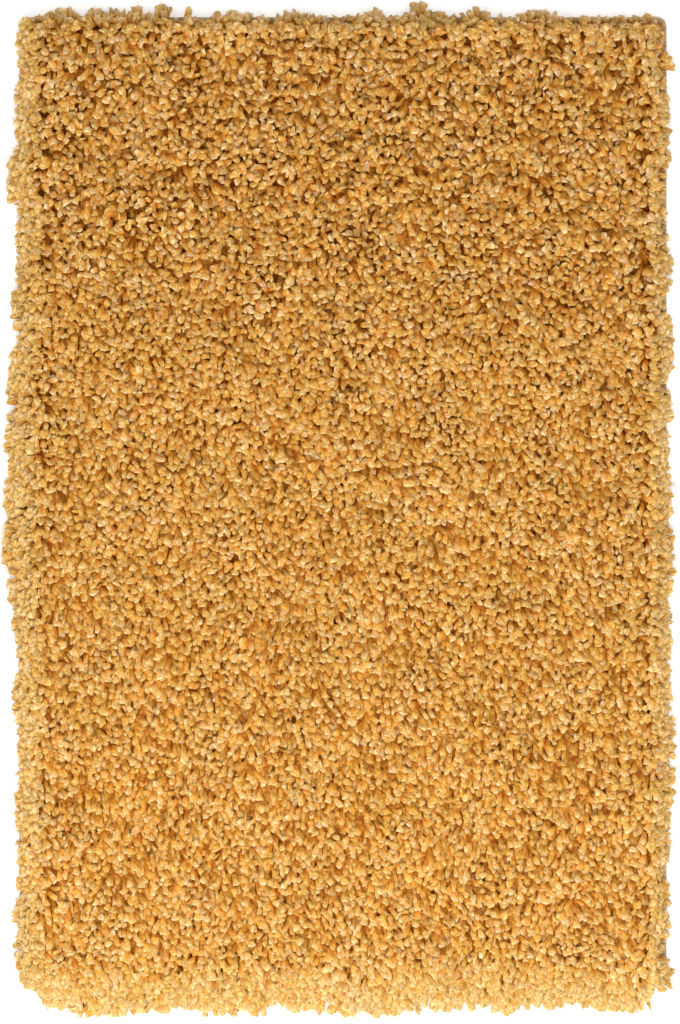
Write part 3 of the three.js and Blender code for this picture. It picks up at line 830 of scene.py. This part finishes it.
# %% [markdown]
# ## Skins and strips
# Each yarn now draws its skin: a column by how light it is and a band by its hue. One function lays the
# copies of a form along their lines, and one joins such copies to a mesh. Its normals lean towards straight
# up, because light goes through loose fibres and softens the shaded side of a yarn. The pile could be a
# single mesh, but that would be too heavy for other programs, so it is cut into strips along its length. Each
# yarn stays whole in one strip.

# %% Build the pile
STRIPS = 5
SKIN_UNEVEN = 0.5  # mm
SOFTNESS = 0.42  # share of straight up in the normals, because loose fibres pass light round a yarn
BROAD_SIDE_UNEVEN = 0.5  # radians that a brushed end is turned from lying flat
TWIST_UNEVEN = 0.6  # radians over one yarn
ROUND_SPAN = 1.25  # turns that a cell holds, because the face which closes a round goes past one
EDGE_SHADE_LIFT = 0.45  # how much of the painted depth shade a yarn at the edge goes without, which paints it lighter out in the open
NEAR_HUES = [0.32, 0.14, 0.46, 0.04, 0.04]  # shares of the five hues at the near end
FAR_HUES = [0.34, 0.16, 0.3, 0.12, 0.08]  # and at the far end, which is duller
RIM_LIGHT_HUES = {  # and at the outermost tips: cream as painted light along the near end and sides, tan as painted shade along the far end
    "bottom": [0.3, 0, 0.7, 0, 0],
    "right": [0.3, 0, 0.6, 0, 0.1],
    "top": [0, 0, 0.3, 0, 0.7],
    "left": [0.3, 0, 0.6, 0, 0.1],
}
FORM_SHARES = [0.4, 0.2, 0.2, 0.2]
MIDDLE_TONE, TONE_UNEVEN = 0.5, 0.11  # on a scale from the darkest, 0, to the lightest, 1
TONE_DRIFT, TONE_DRIFT_SIZE = 0.06, 90  # and mm
EDGE_TONE = {"bottom": -0.24, "right": -0.08, "top": -0.16, "left": -0.12}  # the edge rows are darker
RIM_TONE = 0.2  # and the outermost tips lighter again
# painted light along the rug: tones lighter at the two ends and darker across the middle, evening out how the
# light falls
LENGTHWISE_PAINTED_LIGHT = ([-1, -0.2, 0.3, 1], [0.06, -0.06, -0.02, 0.06])  # places from near to far end, and tones
DIP_TONE = 0.2  # how much darker the yarns are in a full dip, where less light comes down

hue_shares = np.outer(1 - far, NEAR_HUES) + np.outer(far, FAR_HUES)
for side in SIDES:
    hue_shares += rim_weights[side][:, None] * (np.array(RIM_LIGHT_HUES[side]) - hue_shares)
rim_weight = np.maximum.reduce([rim_weights[side] for side in SIDES])
hue_limits = np.cumsum(hue_shares, axis=1)
edge_tone = sum(EDGE_TONE[side] * edge_weights[side] for side in SIDES)
hue_of = (rng.uniform(0, LAST_TONE, (count, 1)) > hue_limits).sum(1)
tone_of = MIDDLE_TONE + TONE_UNEVEN * rng.normal(0, 1, count)
tone_of = tone_of + TONE_DRIFT * drift(root, TONE_DRIFT_SIZE) + edge_tone
tone_of += RIM_TONE * rim_weight + DIP_TONE * dip + np.interp(root[:, 1] / half[1], *LENGTHWISE_PAINTED_LIGHT)
tone_of = tone_of.clip(0, LAST_TONE)
form_of = rng.choice(len(read_forms), count, p=FORM_SHARES)
spin = rng.normal(0, BROAD_SIDE_UNEVEN, count)
twist = rng.normal(0, TWIST_UNEVEN, count)
pile_strands = {
    "line": line,
    "turn": turn,
    "thick": thick,
    "spin": spin,
    "twist": twist,
    "tone": tone_of,
    "hue": hue_of,
    "shade_lift": EDGE_SHADE_LIFT * edge_weight,
    "uneven": SKIN_UNEVEN,
}


def copies(shape, strands, chosen):
    points = shape["points"]
    line = strands["line"][chosen]
    steps = line.shape[1] - 1
    number = np.arange(len(chosen))[:, None]
    at = points[:, 2] * steps + np.zeros((len(chosen), 1))
    lower = np.minimum(at.astype(int), steps - 1)
    part = (at - lower)[:, :, None]
    centre = line[number, lower] * (1 - part) + line[number, lower + 1] * part
    heads = np.diff(line, axis=1)
    heads /= np.linalg.norm(heads, axis=2, keepdims=True) + BARELY
    head = heads[number, lower]
    turn = strands["turn"][chosen][number, lower]
    side = np.stack([-np.sin(turn), np.cos(turn), np.zeros_like(turn)], 2)
    other = np.cross(head, side)
    turned = strands["spin"][chosen][:, None] + strands["twist"][chosen][:, None] * points[:, 2]
    radius = strands["thick"][chosen][:, None] / 2
    x = radius * (points[:, 0] * np.cos(turned) - points[:, 1] * np.sin(turned))
    y = radius * (points[:, 0] * np.sin(turned) + points[:, 1] * np.cos(turned))
    placed = centre + side * x[:, :, None] + other * y[:, :, None]
    placed += rng.normal(0, strands["uneven"], placed.shape)
    placed[:, :, 2] = np.maximum(placed[:, :, 2], FLOOR_GAP)
    tone_cell = (strands["tone"][chosen] * TONE_COLUMNS).astype(int)
    around = CELL_MARGIN[0] + (1 - 2 * CELL_MARGIN[0]) * (shape["around"] / ROUND_SPAN)
    # painted light: edge yarns and stray fibres get less of the painted depth shade, so they look paler
    shade_lift = strands["shade_lift"][chosen][:, None]
    along = shape["along"] + (1 - shape["along"]) * shade_lift
    along = CELL_MARGIN[1] + (1 - 2 * CELL_MARGIN[1]) * along
    u = (tone_cell[:, None] + around) / TONE_COLUMNS
    v = (strands["hue"][chosen][:, None] + along) / HUE_BANDS
    return placed, np.stack([u, v], 2)


def join_copies(name, batches):
    points, corners, starts, uvs = [], [], [], []
    points_so_far = corners_so_far = 0
    for shape, (placed, uv) in batches:
        number = len(placed)
        offsets = points_so_far + np.arange(number)[:, None] * len(shape["points"])
        corners.append((offsets + shape["corners"]).ravel())
        first = np.concatenate([[0], np.cumsum(shape["sizes"])[:-1]])
        shifts = corners_so_far + np.arange(number)[:, None] * len(shape["corners"])
        starts.append((shifts + first).ravel())
        points.append(placed.reshape(-1, 3))
        uvs.append(uv.reshape(-1, 2))
        points_so_far += number * len(shape["points"])
        corners_so_far += number * len(shape["corners"])
    mesh = bpy.data.meshes.new(name)
    points = np.concatenate(points)
    points[:, :2] += CLOTH_MIDDLE
    mesh.vertices.add(len(points))
    mesh.vertices.foreach_set("co", (points * MM).astype(np.float32).ravel())
    corners = np.concatenate(corners)
    mesh.loops.add(len(corners))
    mesh.loops.foreach_set("vertex_index", corners.astype(np.int32))
    starts = np.concatenate(starts)
    mesh.polygons.add(len(starts))
    mesh.polygons.foreach_set("loop_start", starts.astype(np.int32))
    layer = mesh.uv_layers.new(name="OFBake")
    layer.data.foreach_set("uv", np.concatenate(uvs).astype(np.float32).ravel())
    mesh.update(calc_edges=True)
    mesh.validate()
    mesh.polygons.foreach_set("use_smooth", np.ones(len(starts), bool))
    normals = np.zeros(3 * len(mesh.vertices), np.float32)
    mesh.vertex_normals.foreach_get("vector", normals)
    normals = normals.reshape(-1, 3) * (1 - SOFTNESS)
    normals[:, 2] += SOFTNESS
    normals /= np.linalg.norm(normals, axis=1, keepdims=True) + BARELY
    mesh.normals_split_custom_set_from_vertices(normals.tolist())
    piece = bpy.data.objects.new(name, mesh)
    bpy.context.scene.collection.objects.link(piece)
    return piece


strip_of = np.minimum((np.argsort(np.argsort(root[:, 0])) * STRIPS // count), STRIPS - 1)
for strip in range(STRIPS):
    batches = []
    for number, shape in enumerate(read_forms):
        chosen = np.flatnonzero((strip_of == strip) & (form_of == number))
        batches.append((shape, copies(shape, pile_strands, chosen)))
    piece = join_copies(f"pile_strip_{strip + 1}", batches)
    piece.data.materials.append(yarn)
    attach(piece, "root")
    print(piece.name, sum(len(f.vertices) - 2 for f in piece.data.polygons), "triangles")

# %% [markdown]
# ## The foot of the pile
# Under their tips the yarns stand so close that hardly any light gets down between them. More yarns would
# show that, but they would cost a million faces that nobody sees. So the lower pile is closed by one lumpy
# surface, some 5 to 8 mm under the tips, in the same yarn, with painted shade: darker than the yarn above and
# darkest between its bunches. It is a grid whose points are lifted as bunched yarns would be, and it falls to
# the cloth towards the edge, where real yarns lie over and have to show.

# %% Model the pile's foot
FOOT_STEP = 7  # mm
FOOT_HEIGHT = 19.5  # mm
FOOT_LUMP = 2.2  # mm
FOOT_LUMP_SINGLE, FOOT_LUMP_BROAD = 0.7, 0.6  # shares of single and of broad lumps
FOOT_LUMP_SIZE = 18  # mm, of the broad ones
FOOT_SLIDE = 1.0  # mm that a point lies off its place
FOOT_SUNK = 3.0  # mm lower at the far end, where the pile is open
FOOT_RIM = {"bottom": 28, "right": 12, "top": 10, "left": 15}  # mm over which it falls to the cloth
FOOT_INSET = 8  # mm from the cloth's edge
BUNCH_SIZE, BUNCH_RELIEF = 4.5, 2.5  # mm
# painted shade: the bunch tops, and the darker borders between bunches
BUNCH_TOP, BUNCH_BORDER_SHADE = "#dc9838", "#9c581a"
BUNCH_EDGE = 0.7  # of a bunch's size from its middle, where it is darkest

foot_size = 2 * (half - FOOT_INSET)
bpy.ops.object.select_all(action="DESELECT")
bpy.ops.mesh.primitive_grid_add(
    x_subdivisions=int(foot_size[0] / FOOT_STEP),
    y_subdivisions=int(foot_size[1] / FOOT_STEP),
    size=1,
    location=(0, 0, 0),
)
foot = bpy.context.object
foot.name = "pile_foot"
places = np.array([v.co for v in foot.data.vertices])[:, :2] * foot_size
rise = np.ones(len(places))
for side, out in SIDES.items():
    inset = half @ np.abs(out) - places @ np.array(out) - FOOT_INSET
    rise = np.minimum(rise, np.clip(inset / FOOT_RIM[side], 0, 1))
rise = rise * (2 - rise)
foot_top = FOOT_HEIGHT - FOOT_SUNK * np.clip(places[:, 1] / half[1] - FAR_FROM, 0, 1)
lift = CLOTH_TOP + (foot_top - CLOTH_TOP) * rise
lumps = rng.normal(0, FOOT_LUMP_SINGLE, len(places)) + FOOT_LUMP_BROAD * drift(places, FOOT_LUMP_SIZE)
lift += rise * FOOT_LUMP * lumps
shifted = places + rng.normal(0, FOOT_SLIDE, places.shape) * rise[:, None] + CLOTH_MIDDLE
foot.data.vertices.foreach_set("co", (np.column_stack([shifted, lift]) * MM).astype(np.float32).ravel())
foot.data.update()
bpy.ops.object.shade_smooth()
bunched, tree = new_material("bunched_pile_yarn_in_shade")
place = add_node(tree, "ShaderNodeTexCoord")
bunched_place = {"Vector": place.outputs["Object"], "Scale": 1 / (BUNCH_SIZE * MM)}
bunches = add_node(tree, "ShaderNodeTexVoronoi", bunched_place)
shade = add_node(tree, "ShaderNodeValToRGB", {"Fac": bunches.outputs["Distance"]})
shade.color_ramp.elements[0].color = linear(BUNCH_TOP)
shade.color_ramp.elements[1].color = linear(BUNCH_BORDER_SHADE)
shade.color_ramp.elements[1].position = BUNCH_EDGE
relief = {"Height": bunches.outputs["Distance"], "Strength": 1.0, "Distance": BUNCH_RELIEF * MM}
bump = add_node(tree, "ShaderNodeBump", relief, invert=True)
skin = {"Base Color": shade, "Roughness": 0.95, "Specular IOR Level": 0.1, "Normal": bump}
surface = add_node(tree, "ShaderNodeBsdfPrincipled", skin)
add_node(tree, "ShaderNodeOutputMaterial", {"Surface": surface})
foot.data.materials.append(bunched)
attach(foot, "root")
print("foot:", len(foot.data.polygons), "faces, top at", round(float(lift.max()), 1), "mm")

# %% [markdown]
# ## Stray fibres
# A cut yarn never ends cleanly: single fibres stand out from it, and along the rim of the rug they blur its
# outline against the floor. Real hair strands would be lost when the rug is exported, so each fibre is a mesh
# too, three-sided and as thin as can still be seen, and it starts inside the end of a yarn. Most are along
# the edges, where nothing hides them.

# %% Add stray fibres
FIBRE_COUNT = 4200
FIBRE_SHARES = {"bottom": 1.0, "right": 0.6, "top": 0.1, "left": 0.8}  # by how fuzzy each edge is
FIBRE_INLAND = 0.02  # how fuzzy the pile is away from the edges
FIBRE_STATIONS = 5
FIBRE_LENGTHS = (5, 13)  # mm
FIBRE_THICKNESS = 0.5  # mm, thicker than real, so that the picture shows them
FIBRE_START = 4  # steps from the end of its yarn at most
FIBRE_FAN = math.radians(45)  # sideways from the way the yarn points, and half as much up and down
FIBRE_CLIMB = 0.1  # radians upwards, about which that is
FIBRE_CURL = 0.6  # radians sideways, from its start to its end
FIBRE_SAG = 4.0  # mm
FIBRE_TONES = (0.6, LAST_TONE)
FIBRE_HUES = [0, 2]  # golden and cream
# the fibres get little of the painted depth shade, so they are painted pale
FIBRE_SHADE_LIFT = 0.8
FIBRE_FORM = ([(0, 1, 1), (0.5, 1, 1)], 0.0)
FIBRE_DEPTHS = [(0.0, "#f4dcb0"), (0.6, "#ffffff")]

loose_fibre = yarn_finish("loose_polyester_fibre", HUES, FIBRE_DEPTHS, "#fff0d0", relief=0.02)
fibre_form = model_yarn("stray_fibre", *FIBRE_FORM, sides=3)
fibre_shape = read_form(fibre_form)
bpy.data.objects.remove(fibre_form)
chance = FIBRE_INLAND + sum(FIBRE_SHARES[side] * edge_weights[side] ** 3 for side in SIDES)
parent = rng.choice(count, FIBRE_COUNT, p=chance / chance.sum())
start = line[parent, rng.integers(STEPS - FIBRE_START, STEPS + 1, FIBRE_COUNT)]
azimuth = turn[parent, -1] + rng.normal(0, FIBRE_FAN, FIBRE_COUNT)
climb = rng.normal(FIBRE_CLIMB, FIBRE_FAN / 2, FIBRE_COUNT)
reach = rng.uniform(*FIBRE_LENGTHS, FIBRE_COUNT)
fibre_share = np.linspace(0, 1, FIBRE_STATIONS)
bend = azimuth[:, None] + rng.normal(0, FIBRE_CURL, (FIBRE_COUNT, 1)) * fibre_share
flat = reach[:, None] * np.cos(climb)[:, None] * fibre_share
fibre_line = np.zeros((FIBRE_COUNT, FIBRE_STATIONS, 3))
fibre_line[:, :, 0] = start[:, :1] + flat * np.cos(bend)
fibre_line[:, :, 1] = start[:, 1:2] + flat * np.sin(bend)
fibre_line[:, :, 2] = start[:, 2:] + reach[:, None] * np.sin(climb)[:, None] * fibre_share
fibre_line[:, :, 2] -= FIBRE_SAG * fibre_share**2
fibre_line[:, :, 2] = np.maximum(fibre_line[:, :, 2], FLOOR_GAP + FIBRE_THICKNESS)
fibre_strands = {
    "line": fibre_line,
    "turn": bend[:, 1:],
    "thick": np.full(FIBRE_COUNT, FIBRE_THICKNESS),
    "spin": np.zeros(FIBRE_COUNT),
    "twist": np.zeros(FIBRE_COUNT),
    "tone": rng.uniform(*FIBRE_TONES, FIBRE_COUNT),
    "hue": rng.choice(FIBRE_HUES, FIBRE_COUNT),
    "shade_lift": np.full(FIBRE_COUNT, FIBRE_SHADE_LIFT),
    "uneven": 0.0,
}
fibre_copies = copies(fibre_shape, fibre_strands, np.arange(FIBRE_COUNT))
fibres_piece = join_copies("stray_fibres", [(fibre_shape, fibre_copies)])
fibres_piece.data.materials.append(loose_fibre)
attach(fibres_piece, "root")
print("stray fibres:", FIBRE_COUNT)

# %% [markdown]
# ## Overlock stitches
# A sewing machine runs a beige yarn round and round the cloth's cut edge, every 2.4 mm, and each stitch is
# slanted by one such step. A striped bump would do from far off, but the stitches make the small scallops of
# the rim that show between the clumps at the far end. So one stitch is modelled as a short flat yarn and laid
# over the binding again and again, on the straight sides and round the corners.

# %% Sew the edge
STITCH_PITCH = 2.4  # mm
STITCH_WIDTH = 2.5  # mm
STITCH_FORM = ([(0, 0.7, 0.4), (0.25, 1, 0.6), (0.5, 1, 0.6), (0.75, 1, 0.6)], 0.0)
STITCH_PATH = [(-5.3, 4.3), (-4.0, 5.1), (-0.9, 5.1), (0.3, 3.3), (0.1, 0.9)]  # outwards and up, in mm
EDGE_CORNER = 8  # mm, radius of the cloth's corners
OVERLOCK_HUES = ["#f2d4a8", "#ecc89c", "#f6dcb4", "#eecca0", "#e6c49c"]
OVERLOCK_DEPTHS = [(0.0, "#d8c8b0"), (0.5, "#ffffff")]
STITCH_SLIP = 0.15  # mm that its points lie off their places
STITCH_WIDTH_UNEVEN, STITCH_TONE_UNEVEN = 0.06, 0.15
STITCH_SKIN_UNEVEN = 0.05  # mm

overlock = yarn_finish("spun_overlock_yarn", OVERLOCK_HUES, OVERLOCK_DEPTHS, "#e8d8c0")
stitch_form = model_yarn("overlock_stitch", *STITCH_FORM, sides=4)
stitch_shape = read_form(stitch_form)
bpy.data.objects.remove(stitch_form)


def edge_places(side):
    out = np.array(SIDES[side], float)
    go = np.array([-out[1], out[0]])
    run = half @ np.abs(go) - EDGE_CORNER
    straight = np.arange(-run, run, STITCH_PITCH)
    places = np.outer(straight, go) + out * (half @ np.abs(out))
    angles = np.full(len(straight), math.atan2(out[1], out[0]))
    bends = np.arange(0, math.pi / 2, STITCH_PITCH / EDGE_CORNER)
    corner_angles = math.atan2(out[1], out[0]) + bends
    corner = go * run + out * (half @ np.abs(out) - EDGE_CORNER)
    spokes = np.column_stack([np.cos(corner_angles), np.sin(corner_angles)])
    return np.concatenate([places, corner + spokes * EDGE_CORNER]), np.concatenate([angles, corner_angles])


for side in SIDES:
    places, angles = edge_places(side)
    number = len(places)
    spokes = np.column_stack([np.cos(angles), np.sin(angles)])
    stitch_line = np.zeros((number, len(STITCH_PATH), 3))
    for station, (outwards, up) in enumerate(STITCH_PATH):
        slant = (station / (len(STITCH_PATH) - 1) - 0.5) * STITCH_PITCH + rng.normal(0, STITCH_SLIP, number)
        stitch_line[:, station, 0] = places[:, 0] + spokes[:, 0] * outwards - spokes[:, 1] * slant
        stitch_line[:, station, 1] = places[:, 1] + spokes[:, 1] * outwards + spokes[:, 0] * slant
        stitch_line[:, station, 2] = up
    strands = {
        "line": stitch_line,
        "turn": np.repeat(angles[:, None], len(STITCH_PATH), 1),
        "thick": STITCH_WIDTH * rng.normal(1, STITCH_WIDTH_UNEVEN, number),
        "spin": np.zeros(number),
        "twist": np.zeros(number),
        "tone": rng.normal(MIDDLE_TONE, STITCH_TONE_UNEVEN, number).clip(0, LAST_TONE),
        "hue": rng.integers(0, HUE_BANDS, number),
        "shade_lift": np.zeros(number),
        "uneven": STITCH_SKIN_UNEVEN,
    }
    stitches = copies(stitch_shape, strands, np.arange(number))
    piece = join_copies("stitches_" + side, [(stitch_shape, stitches)])
    piece.data.materials.append(overlock)
    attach(piece, "root")
    print(piece.name, number, "stitches")

# %% [markdown]
# ## Ground cloth
# The cloth is a coarse, flat weave, 2.2 mm thick. From above the pile hides it, and from below it is all that
# shows. It could be a bare slab, but the real one rises a little at its edge, where the binding passes under
# it. A plane of the cloth's size gets rounded corners, its rim is inset and lifted, and Solidify gives it its
# thickness.

# %% Model the ground cloth
CLOTH_THICKNESS = 2.2  # mm
TONGUE_INSET = 1.3  # mm that the cloth ends inside the outer side of its binding
RIM_LIFT = 1.3  # mm that its rim rises, to lie in the binding
RIM_WIDTH = 6  # mm of that rim
CORNER_SEGMENTS = 5
WEAVE_STEP = 1.7  # mm between two threads
WAVE_TURN = 2 * math.pi / 20  # units after which a wave texture of scale 1 repeats
KNOT_EDGE = (0.28, 0.42)  # of the way between two knots, where a knot ends
KNOT_RISE = 1.2  # of a knot over the weave, as a share of the weave's own relief
KNOT_COLOUR = "#d69f48"  # of the pile yarn, a little worn
THREAD_COLOURS = ["#a88d62", "#c4aa7e"]
THREAD_SHADES = (0.62, 1.08)  # between the threads and on them
WEAR_SIZE, WEAR_RANGE = 60, (0.3, 0.7)  # mm, and the amounts of wear that have one and the other colour
WEAVE_RELIEF = 0.8  # mm

bpy.ops.object.select_all(action="DESELECT")
bpy.ops.mesh.primitive_plane_add(size=1, location=(CLOTH_MIDDLE[0] * MM, CLOTH_MIDDLE[1] * MM, 0))
cloth = bpy.context.object
cloth.name = "ground_cloth"
bpy.ops.object.mode_set(mode="EDIT")
bpy.ops.mesh.select_all(action="SELECT")
bpy.ops.transform.resize(
    value=((CLOTH_WIDTH - 2 * TONGUE_INSET) * MM, (CLOTH_LENGTH - 2 * TONGUE_INSET) * MM, 1)
)
bpy.ops.mesh.bevel(offset=(EDGE_CORNER - TONGUE_INSET) * MM, segments=CORNER_SEGMENTS, affect="VERTICES")
bpy.ops.transform.translate(value=(0, 0, RIM_LIFT * MM))
bpy.ops.mesh.select_all(action="SELECT")
bpy.ops.mesh.inset(thickness=RIM_WIDTH * MM, depth=-RIM_LIFT * MM)
bpy.ops.object.mode_set(mode="OBJECT")
bpy.ops.object.transform_apply(location=True, rotation=True, scale=True)
solid = cloth.modifiers.new("thickness", "SOLIDIFY")
solid.thickness = CLOTH_THICKNESS * MM
solid.offset = 1
bpy.ops.object.modifier_apply(modifier=solid.name)

backing, tree = new_material("woven_ground_cloth")
place = add_node(tree, "ShaderNodeTexCoord")
threads = {"Vector": place.outputs["Object"], "Scale": WAVE_TURN / (WEAVE_STEP * MM), "Distortion": 0.6}
warp = add_node(tree, "ShaderNodeTexWave", threads, bands_direction="X")
weft = add_node(tree, "ShaderNodeTexWave", threads, bands_direction="Y")
over_under = {0: warp.outputs["Fac"], 1: weft.outputs["Fac"]}
weave = add_node(tree, "ShaderNodeMath", over_under, operation="MULTIPLY")
knot_grid = {"Vector": place.outputs["Object"], "Scale": (1 / (STITCH_STEP * MM), 1 / (ROW_STEP * MM), 0)}
knot_place = add_node(tree, "ShaderNodeMapping", knot_grid)
knots = add_node(tree, "ShaderNodeTexVoronoi", {"Vector": knot_place, "Scale": 1.0, "Randomness": 0.25})
past_knot = {"Value": knots.outputs["Distance"], **from_to(*KNOT_EDGE)}
knot = add_node(tree, "ShaderNodeMapRange", past_knot)
worn = {"Vector": place.outputs["Object"], "Scale": 1 / (WEAR_SIZE * MM), "Detail": 3.0}
wear = add_node(tree, "ShaderNodeTexNoise", worn)
thread = add_node(tree, "ShaderNodeValToRGB", {"Fac": wear})
for stop, colour, amount in zip(thread.color_ramp.elements, THREAD_COLOURS, WEAR_RANGE):
    stop.color = linear(colour)
    stop.position = amount
mixed = {"Factor": knot, 6: linear(KNOT_COLOUR), 7: thread}
cover = add_node(tree, "ShaderNodeMix", mixed, data_type="RGBA")
lit = add_node(tree, "ShaderNodeMapRange", {"Value": weave, **from_to(0.0, 1.0, *THREAD_SHADES)})
woven = add_node(tree, "ShaderNodeVectorMath", {0: cover.outputs[2], "Scale": lit}, operation="SCALE")
relief = add_node(tree, "ShaderNodeMath", {0: knot, 1: -KNOT_RISE, 2: weave}, operation="MULTIPLY_ADD")
bump = add_node(tree, "ShaderNodeBump", {"Height": relief, "Strength": 0.9, "Distance": WEAVE_RELIEF * MM})
skin = {"Base Color": woven, "Roughness": 0.95, "Specular IOR Level": 0.2, "Normal": bump}
surface = add_node(tree, "ShaderNodeBsdfPrincipled", skin)
add_node(tree, "ShaderNodeOutputMaterial", {"Surface": surface})
cloth.data.materials.append(backing)
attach(cloth, "root")
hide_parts("pile_cloth")
print("cloth:", [round(c, 4) for c in cloth.dimensions])

# %% [markdown]
# ## Binding
# Under its stitches the binding is a flat band of the same yarn. It could be modelled again, but the frame's
# four bindings have its true shape, so they stay. Their threads lie across the edge, so the long sides and
# the end sides get the same finish turned by a quarter.

# %% Finish the bindings
BAND_RELIEF = 0.5  # mm
BAND_COLOURS = ["#b89a74", "#e4caa4"]  # between two threads and on one


def band_finish(name, direction):
    material, tree = new_material(name)
    place = add_node(tree, "ShaderNodeTexCoord")
    bands = {"Vector": place.outputs["Object"], "Scale": WAVE_TURN / (STITCH_PITCH / 2 * MM)}
    bands.update({"Distortion": 1.0, "Detail": 2.0})
    threads = add_node(tree, "ShaderNodeTexWave", bands, bands_direction=direction)
    colour = add_node(tree, "ShaderNodeValToRGB", {"Fac": threads.outputs["Fac"]})
    for stop, stop_colour in zip(colour.color_ramp.elements, BAND_COLOURS):
        stop.color = linear(stop_colour)
    relief = {"Height": threads.outputs["Fac"], "Strength": 0.8, "Distance": BAND_RELIEF * MM}
    bump = add_node(tree, "ShaderNodeBump", relief)
    skin = {"Base Color": colour, "Roughness": 0.9, "Specular IOR Level": 0.2, "Normal": bump}
    surface = add_node(tree, "ShaderNodeBsdfPrincipled", skin)
    add_node(tree, "ShaderNodeOutputMaterial", {"Surface": surface})
    return material


for side, out in SIDES.items():
    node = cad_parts["binding_" + side]
    direction = "Y" if out[0] else "X"
    for slot in node.material_slots:
        slot.material = band_finish("overlock_band_" + side, direction)
